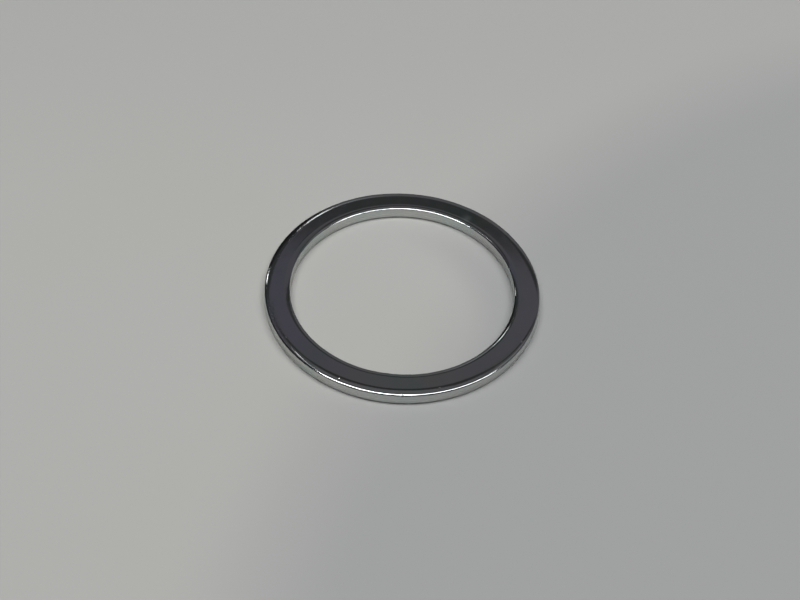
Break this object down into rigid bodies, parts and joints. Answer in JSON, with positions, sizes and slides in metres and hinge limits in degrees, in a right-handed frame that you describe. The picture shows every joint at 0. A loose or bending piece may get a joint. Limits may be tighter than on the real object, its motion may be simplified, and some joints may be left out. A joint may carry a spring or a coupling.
{
  "type": "ring gasket",
  "caption": "Flat solid-metal ring gasket with rolled edges and a plain bore, clamped between flat faces around a screw plug or pipe stub to seal the joint.",
  "frame": {"origin": "middle of the sheared face, the one that the ring lies on", "axes": "+Z along the bore axis, from the sheared face to the face with the rolled edges; X and Y lie in the sheared face"},
  "size_m": [0.032, 0.032, 0.0016],
  "materials": {
    "zinc_plated_steel": "blanked soft steel, tumbled and bright zinc plated, with a clear blue passivate"
  },
  "bodies": {
    "root": {"gasket_ring": "zinc_plated_steel"}
  },
  "joints": []
}
